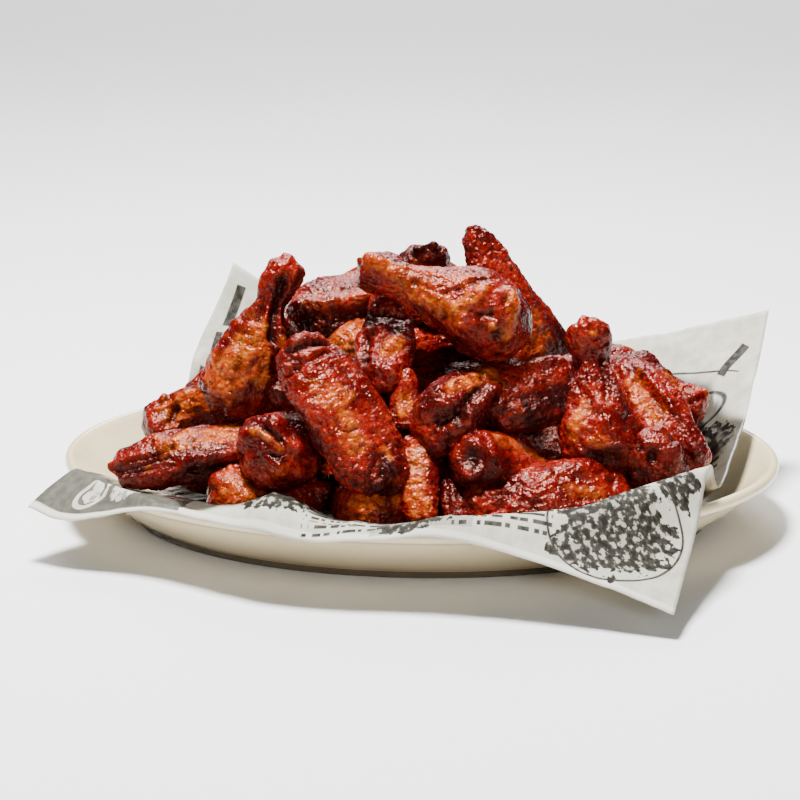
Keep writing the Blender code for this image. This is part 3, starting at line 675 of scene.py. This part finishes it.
def platter_material():
    """Cream glazed stoneware, browned low on the wall by painted shade, with a bare clay foot
    darkened as painted shadow.
    """
    n = Nodes("cream stoneware")
    speck = n.noise(260.0, 2.0)
    colour = n.mix(n.span(speck, 0.55, 0.75, 0.0, 0.25), CREAM, CREAM_SPECK)
    split = n.add("ShaderNodeSeparateXYZ")
    n.put(split.inputs[0], n.place())
    height = n.math("DIVIDE", split.outputs[2], MM)
    # Painted shade: the wall darkens towards its foot
    colour = n.mix(n.span(height, FOOT_H, 22.0, 0.55, 0.0), colour, CREAM_SHADE_LOW)
    # Painted shadow: the bare clay foot in near-dark brown
    colour = n.mix(n.span(height, FOOT_H - 0.3, FOOT_H + 0.3, 1.0, 0.0), colour, CLAY_IN_SHADOW)
    n.put(n.shader.inputs["Base Color"], colour)
    n.put(n.shader.inputs["Roughness"], 0.22)
    n.put(n.shader.inputs["Coat Weight"], 0.4)
    n.put(n.shader.inputs["Coat Roughness"], 0.08)
    n.put(n.shader.inputs["Normal"], n.bump(n.noise(30.0, 2.0), 0.0006, 0.3))
    return n.material


def paper_material():
    """Deli paper with worn grey-brown print: bars, rules, rows of dashes, mottled leaves.

    Places on the sheet are in mm from its front left corner, and turns in degrees.
    """
    n = Nodes("printed paper")
    split = n.add("ShaderNodeSeparateXYZ")
    n.put(split.inputs[0], n.add("ShaderNodeTexCoord").outputs["UV"])
    x = n.math("MULTIPLY", split.outputs[0], SHEET_W)
    y = n.math("MULTIPLY", split.outputs[1], SHEET_D)
    join = n.add("ShaderNodeCombineXYZ")
    n.put(join.inputs[0], x)
    n.put(join.inputs[1], y)
    flat = join.outputs[0]
    worn = n.noise(0.32, 3.0, 0.55, flat)
    blotch = n.noise(0.16, 3.0, 0.6, flat)

    def turned(at_x, at_y, turn):
        cosine, sine = math.cos(math.radians(turn)), math.sin(math.radians(turn))
        dx = n.math("SUBTRACT", x, at_x)
        dy = n.math("SUBTRACT", y, at_y)
        along = n.math("ADD", n.math("MULTIPLY", dx, cosine), n.math("MULTIPLY", dy, sine))
        across = n.math("SUBTRACT", n.math("MULTIPLY", dy, cosine), n.math("MULTIPLY", dx, sine))
        return along, across

    def within(value, half):
        return n.span(n.math("ABSOLUTE", value), half - 0.3, half + 0.3, 1.0, 0.0)

    def bar(at_x, at_y, wide, deep, turn):
        along, across = turned(at_x, at_y, turn)
        return n.math("MULTIPLY", within(along, wide / 2), within(across, deep / 2))

    def dashes(at_x, at_y, wide, deep, turn, pitch):
        along, across = turned(at_x, at_y, turn)
        area = n.math("MULTIPLY", within(along, wide / 2), within(across, deep / 2))
        level = n.math("DIVIDE", across, pitch)
        row = n.math("FLOOR", level)
        inside = n.span(n.math("ABSOLUTE", n.math("SUBTRACT", n.math("FRACT", level), 0.5)),
                        0.18, 0.30, 1.0, 0.0)
        spot = n.add("ShaderNodeCombineXYZ")
        n.put(spot.inputs[0], n.math("DIVIDE", along, pitch))
        n.put(spot.inputs[1], n.math("MULTIPLY", row, 7.3))
        broken = n.span(n.noise(1.1, 0.0, 0.5, spot.outputs[0]), 0.44, 0.50)
        return n.math("MULTIPLY", n.math("MULTIPLY", area, inside), broken)

    def radius(at_x, at_y, wide, deep, turn):
        along, across = turned(at_x, at_y, turn)
        a = n.math("POWER", n.math("DIVIDE", along, wide / 2), 2.0)
        b = n.math("POWER", n.math("DIVIDE", across, deep / 2), 2.0)
        return n.math("SQRT", n.math("ADD", a, b))

    def leaf(at_x, at_y, wide, deep, turn):
        edge = n.math("ADD", radius(at_x, at_y, wide, deep, turn),
                      n.math("MULTIPLY", n.math("SUBTRACT", blotch, 0.5), 1.6))
        return n.math("MULTIPLY", n.span(edge, 0.92, 1.0, 1.0, 0.0),
                      n.span(worn, 0.53, 0.585, 1.0, 0.32))

    def ring(at_x, at_y, wide, deep, turn, width):
        out = radius(at_x, at_y, wide, deep, turn)
        gap = n.math("MULTIPLY", n.math("SUBTRACT", out, 1.0), min(wide, deep) / 2)
        return within(gap, width)

    ink = bar(8.5, 234.0, 4.6, 20.0, 5.0)
    for mark in (
            bar(8.0, 213.0, 3.2, 14.0, 5.0), bar(8.0, 195.0, 8.0, 8.0, 0.0),
            bar(288.0, 160.0, 17.0, 3.0, 8.0), bar(284.0, 152.0, 26.0, 3.0, 8.0),
            bar(276.0, 222.0, 40.0, 0.9, -14.0), bar(268.0, 214.0, 30.0, 0.9, -14.0),
            bar(291.0, 226.0, 5.0, 20.0, -30.0), bar(236.0, 236.0, 9.0, 5.0, 20.0),
            n.math("MULTIPLY", bar(38.0, 14.5, 78.0, 23.0, -2.0), 0.88),
            bar(30.0, 44.0, 60.0, 20.0, 0.0),
            leaf(273.0, 30.0, 52.0, 44.0, 40.0), leaf(258.0, 11.0, 24.0, 12.0, 10.0),
            n.math("MULTIPLY", bar(190.0, 11.5, 46.0, 15.0, 5.0), 0.40),
            leaf(186.0, 7.0, 30.0, 9.0, 8.0), leaf(289.0, 178.0, 24.0, 30.0, 20.0),
            leaf(60.0, 20.0, 26.0, 14.0, -20.0), leaf(118.0, 14.0, 32.0, 14.0, 10.0),
            leaf(150.0, 180.0, 60.0, 40.0, 0.0), leaf(60.0, 120.0, 50.0, 40.0, 0.0),
            leaf(292.0, 64.0, 20.0, 26.0, 0.0), leaf(16.0, 60.0, 26.0, 26.0, 0.0),
            ring(272.0, 201.0, 38.0, 19.0, 10.0, 0.6),
            ring(272.0, 31.0, 62.0, 52.0, 40.0, 0.5),
            dashes(224.0, 20.0, 44.0, 24.0, 10.0, 4.0), dashes(160.0, 12.0, 50.0, 16.0, 6.0, 3.0),
            dashes(120.0, 90.0, 90.0, 50.0, 6.0, 3.0), dashes(246.0, 196.0, 20.0, 30.0, 0.0, 3.0),
            dashes(110.0, 215.0, 60.0, 30.0, 0.0, 3.0)):
        ink = n.math("MAXIMUM", ink, mark)
    for spared in (ring(25.0, 12.0, 15.0, 11.0, 15.0, 0.8), leaf(25.0, 12.0, 10.0, 7.0, 0.0),
                   leaf(43.0, 12.0, 15.0, 10.0, 0.0), bar(34.0, 40.0, 30.0, 2.0, 10.0)):
        ink = n.math("SUBTRACT", ink, spared, clamp=True)
    faded = n.math("MULTIPLY", ink, n.span(worn, 0.35, 0.65, 1.0, 0.90))
    plain = n.mix(n.span(blotch, 0.35, 0.7), PAPER, PAPER_CLOUD)
    plain = n.mix(n.span(y, HEM - 0.3, HEM + 0.3, 1.0, 0.0), plain, PAPER_HEM)
    colour = n.mix(faded, plain, INK)
    grease = n.attribute("grease")
    colour = n.mix(grease, colour, GREASED, "MULTIPLY")
    n.put(n.shader.inputs["Base Color"], colour)
    n.put(n.shader.inputs["Roughness"], n.span(grease, 0.0, 1.0, 0.60, 0.18))
    n.put(n.shader.inputs["Specular IOR Level"], n.span(grease, 0.0, 1.0, 0.08, 0.50))
    n.put(n.shader.inputs["Normal"], n.bump(n.noise(900.0, 3.0), 0.0002, 0.4))
    return n.material


# ---- platter and paper -------------------------------------------------------------------

def wall_share(x, y):
    """Where plan points lie between the foot's outline (0) and the rim's (1), by halving."""
    low = np.full(x.shape, -3.0)
    high = np.full(x.shape, 6.0)
    for _ in range(40):
        middle = 0.5 * (low + high)
        a = FOOT_A + (RIM_A - FOOT_A) * middle
        b = FOOT_B + (RIM_B - FOOT_B) * middle
        inside = (a > 0) & (b > 0) & ((x / a) ** 2 + (y / b) ** 2 < 1.0)
        low, high = np.where(inside, low, middle), np.where(inside, middle, high)
    return low


def lying_height(share):
    """Height of the sheet where only the platter holds it."""
    rise = np.maximum(share + 0.18, 0.0) / 1.18
    climb = FLOOR_Z + 1.0 + (PLATTER_H - FLOOR_Z + 2.6) * rise ** 1.15
    over = share - 1.0
    fall = PLATTER_H + 3.6 + 3.4 * (1.0 - np.exp(-np.maximum(over, 0.0) / 0.12)) - 14.5 * over
    return np.where(share <= 1.0, climb, fall)


def sheet_points(u, v):
    """Points of the sheet: u from 0 at its left edge to 1, v from 0 at its front edge to 1."""
    corner = np.array((FRONT_LEFT, FRONT_RIGHT, BACK_LEFT, BACK_RIGHT))
    weight = np.stack([(1 - u) * (1 - v), u * (1 - v), (1 - u) * v, u * v], axis=-1)
    x, y = np.moveaxis(weight @ corner, -1, 0)
    # The left and front edges swing out and in between the corners
    x = x + 26.0 * (1 - u) ** 2 * hump(v, 0.38, 0.20) - 5.5 * (1 - u) ** 10 * hump(v, 0.86, 0.13)
    x = x + 11.0 * (1 - u) ** 6 * hump(v, 0.13, 0.08)
    y = y - 6.0 * hump(u, 0.40, 0.16) * smooth(1.0 - v / 0.30)
    y = y - 13.0 * hump(u, 0.42, 0.24) * smooth(1.0 - v / 0.10)
    y = y - 9.0 * hump(u, 0.06, 0.10) * smooth(1.0 - v / 0.12)
    # It lies in the platter, rests on the lip at the front, and stands up at the back
    share = wall_share(x, y)
    z = lying_height(share)
    on_lip = smooth((1.3 - share) / 0.3) * smooth(1.0 - v / 0.22)
    z = z + np.maximum(FRONT_EDGE_Z - z, 0.0) * on_lip
    back_height = 50.0 + 38.0 * np.maximum(1.0 - u / 0.32, 0.0) ** 1.5
    back_height = back_height + 27.0 * np.maximum(2.0 * u - 1.0, 0.0) ** 1.6
    z = z + (back_height - z) * (np.maximum(v - 0.60, 0.0) / 0.40) ** 2
    # Folds: up at the right, a ridge over the lip, waves in the front edge, and the hanging
    # front left tongue
    z = z + 13.0 * smooth((u - 0.80) / 0.20) * hump(v, 0.63, 0.17)
    ridge = 4.0 * smooth((u - 0.55) / 0.10) + 10.0 * smooth((u - 0.80) / 0.20)
    z = z + ridge * hump(share, 1.0, 0.45) * smooth((0.50 - v) / 0.15)
    z = z - 3.6 * hump(u, 0.42, 0.24) * smooth(1.0 - v / 0.05)
    z = z + 9.0 * hump(u, 0.39, 0.055) * hump(v, 0.065, 0.05)
    z = z + 2.0 * hump(u, 0.07, 0.06) * hump(v, 0.16, 0.07)
    droop = 5.5 * hump(u, 0.10, 0.12) * smooth(0.15 + u / 0.06)
    z = z - droop * smooth((share - 1.0) / 0.15) * smooth(1.0 - v / 0.20)
    return np.stack([x, y, z], axis=-1)


def crumpled_sheet():
    """Grids over the sheet: u, v, points, upward normals, flat points, and its faces."""
    v, u = np.meshgrid(np.linspace(0, 1, SHEET_ROWS + 1), np.linspace(0, 1, SHEET_COLUMNS + 1),
                       indexing="ij")
    middle = sheet_points(u, v)
    flat = np.stack([u * SHEET_W, v * SHEET_D, np.zeros_like(u)], axis=-1)
    along = np.gradient(middle, axis=1)
    across = np.gradient(middle, axis=0)
    normal = np.cross(along, across)
    normal /= np.linalg.norm(normal, axis=2, keepdims=True)
    crumple = 0.6 * noise(flat / 26.0, 5) + 0.5 * (1 - 2 * np.abs(noise(flat / 21.0, 6)))
    crumple += 0.2 * (1 - 2 * np.abs(noise(flat / 8.0, 7)))
    middle = middle + normal * crumple[..., None]
    wide = SHEET_COLUMNS + 1
    row, col = np.meshgrid(np.arange(SHEET_ROWS), np.arange(SHEET_COLUMNS), indexing="ij")
    near = row * wide + col
    quads = np.stack([near, near + 1, near + wide + 1, near + wide], axis=-1).reshape(-1, 4)
    return u, v, middle, normal, flat, quads


def rest_on(points, sheet):
    """Points moved to the upper side of the sheet where they would sink through it."""
    rested = points.copy()
    for index in np.flatnonzero(points[:, 2] < RESTING_BELOW):
        point = Vector(points[index])
        spot, normal, _, gap = sheet.find_nearest(point)
        depth = (point - spot).dot(normal)
        square_on = 0.85 * gap <= abs(depth)
        if depth < RESTING_GAP and square_on and abs(depth) < RESTING_DEPTH:
            rested[index] = spot + RESTING_GAP * normal
    return rested


def make_paper(u, v, middle, normal, flat, quads):
    """The printed sheet as a thin closed solid."""
    wide = SHEET_COLUMNS + 1
    upper = (middle + normal * 0.5 * SHEET_THICK).reshape(-1, 3)
    lower = (middle - normal * 0.5 * SHEET_THICK).reshape(-1, 3)
    count = len(upper)
    front = np.arange(SHEET_COLUMNS)
    right = np.arange(SHEET_ROWS) * wide + SHEET_COLUMNS
    back = SHEET_ROWS * wide + np.arange(SHEET_COLUMNS, 0, -1)
    left = np.arange(SHEET_ROWS, 0, -1) * wide
    loop = np.concatenate([front, right, back, left])
    after = np.roll(loop, -1)
    rim = np.stack([after, loop, loop + count, after + count], axis=-1)
    quads = np.concatenate([quads, quads[:, ::-1] + count, rim])
    flat_uv = np.stack([u, v], axis=-1).reshape(-1, 2)
    uvs = np.concatenate([flat_uv, flat_uv])
    points = np.concatenate([upper, lower])
    # Sauce and grease soak the sheet where the heap lies on it, with a ragged border
    share = wall_share(middle[..., 0], middle[..., 1])
    reach = 0.80 + 0.12 * smooth((0.42 - u) / 0.20)
    soaked = smooth((reach - share) / 0.16 + 1.1 * noise(flat / 16.0, 8)).ravel()
    layers = {"grease": np.concatenate([soaked, soaked])}
    return grid_object("paper.sheet", points, quads, np.zeros((0, 3), dtype=int), layers, uvs)


def make_platter():
    """Glazed platter turned from its outline, foot and wall outside, then lip, then inside."""
    lip_share = LIP_R / (RIM_A - FOOT_A)
    under_lip = PLATTER_H - 2.0 * LIP_R
    steps = 16
    lip_steps = 14
    outline = [(-0.6, HOLLOW_Z), (-0.02, HOLLOW_Z), (-0.02, 0.0), (-0.01, 0.0), (0.0, 0.6),
               (0.0, FOOT_H)]
    for step in range(1, steps):
        t = step / steps
        outline.append((t * (1.0 - lip_share), FOOT_H + (under_lip - FOOT_H) * t ** 1.15))
    for step in range(lip_steps + 1):
        turn = math.radians(-80.0 + 200.0 * step / lip_steps)
        outline.append((1.0 - lip_share + lip_share * math.cos(turn),
                        PLATTER_H - LIP_R + LIP_R * math.sin(turn)))
    top_share = 1.0 - 1.7 * lip_share
    for step in range(steps - 1, -1, -1):
        t = step / steps
        outline.append((-0.15 + (top_share + 0.15) * t,
                        FLOOR_Z + (PLATTER_H - 0.9 - FLOOR_Z) * t ** 1.5))
    turns = np.linspace(0, 2 * math.pi, PLATTER_SIDES, endpoint=False)
    rings = []
    for share, height in outline:
        a = FOOT_A + (RIM_A - FOOT_A) * share
        b = FOOT_B + (RIM_B - FOOT_B) * share
        rings.append(np.stack([a * np.cos(turns), b * np.sin(turns),
                               np.full(PLATTER_SIDES, height)], axis=-1))
    points = np.concatenate(rings + [np.array([[0, 0, HOLLOW_Z], [0, 0, FLOOR_Z]])])
    quads, tris = tube(len(outline), PLATTER_SIDES)
    return grid_object("platter.glazed", points, quads, tris, {})


# ---- scene -------------------------------------------------------------------------------

def dress():
    """All pieces, on the body they ride."""
    u, v, middle, normal, flat, quads = crumpled_sheet()
    sheet = BVHTree.FromPolygons(middle.reshape(-1, 3).tolist(), quads.tolist())
    glaze = glaze_material()
    for number, wing in enumerate(OUTER_WINGS + INNER_WINGS):
        pitch = FRONT_PITCH if wing in OUTER_WINGS else BEHIND_PITCH
        skin = make_wing(wing, number, pitch, sheet)
        skin.data.materials.append(glaze)
        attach(skin, "root")
        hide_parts(wing.name)
    platter = make_platter()
    platter.data.materials.append(platter_material())
    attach(platter, "root")
    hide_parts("platter")
    paper = make_paper(u, v, middle, normal, flat, quads)
    paper.data.materials.append(paper_material())
    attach(paper, "root")
    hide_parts("paper_liner")


def area_light(name, place, target, size, power):
    """Soft white square light aimed at a point."""
    data = bpy.data.lights.new(name, "AREA")
    data.shape = "SQUARE"
    data.size = size
    data.energy = power
    light = bpy.data.objects.new(name, data)
    light.location = place
    aim = Vector(target) - Vector(place)
    light.rotation_euler = aim.to_track_quat("-Z", "Y").to_euler()
    bpy.context.scene.collection.objects.link(light)


def studio():
    """Pale floor, soft light and the camera."""
    mesh = bpy.data.meshes.new("floor")
    corners = [(x * FLOOR_HALF, y * FLOOR_HALF, 0) for x, y in ((-1, -1), (1, -1), (1, 1), (-1, 1))]
    mesh.from_pydata(corners, [], [(0, 1, 2, 3)])
    floor = bpy.data.objects.new("floor", mesh)
    bpy.context.scene.collection.objects.link(floor)
    pale = Nodes("pale floor")
    pale.put(pale.shader.inputs["Base Color"], FLOOR_GREY)
    pale.put(pale.shader.inputs["Roughness"], 0.9)
    pale.put(pale.shader.inputs["Specular IOR Level"], 0.1)
    mesh.materials.append(pale.material)

    world = bpy.data.worlds.new("soft white")
    bpy.context.scene.world = world
    world.use_nodes = True
    back = world.node_tree.nodes["Background"]
    back.inputs["Color"].default_value = (1.0, 1.0, 1.0, 1.0)
    back.inputs["Strength"].default_value = AROUND_STRENGTH
    for light in LIGHTS:
        area_light(*light)

    data = bpy.data.cameras.new("camera")
    data.lens = CAMERA_LENS
    data.sensor_width = 36.0
    data.clip_start = 0.01
    camera = bpy.data.objects.new("camera", data)
    camera.location = CAMERA_PLACE
    camera.rotation_euler = Vector(CAMERA_LOOK).to_track_quat("-Z", "Y").to_euler()
    bpy.context.scene.collection.objects.link(camera)
    bpy.context.scene.camera = camera


dress()
studio()
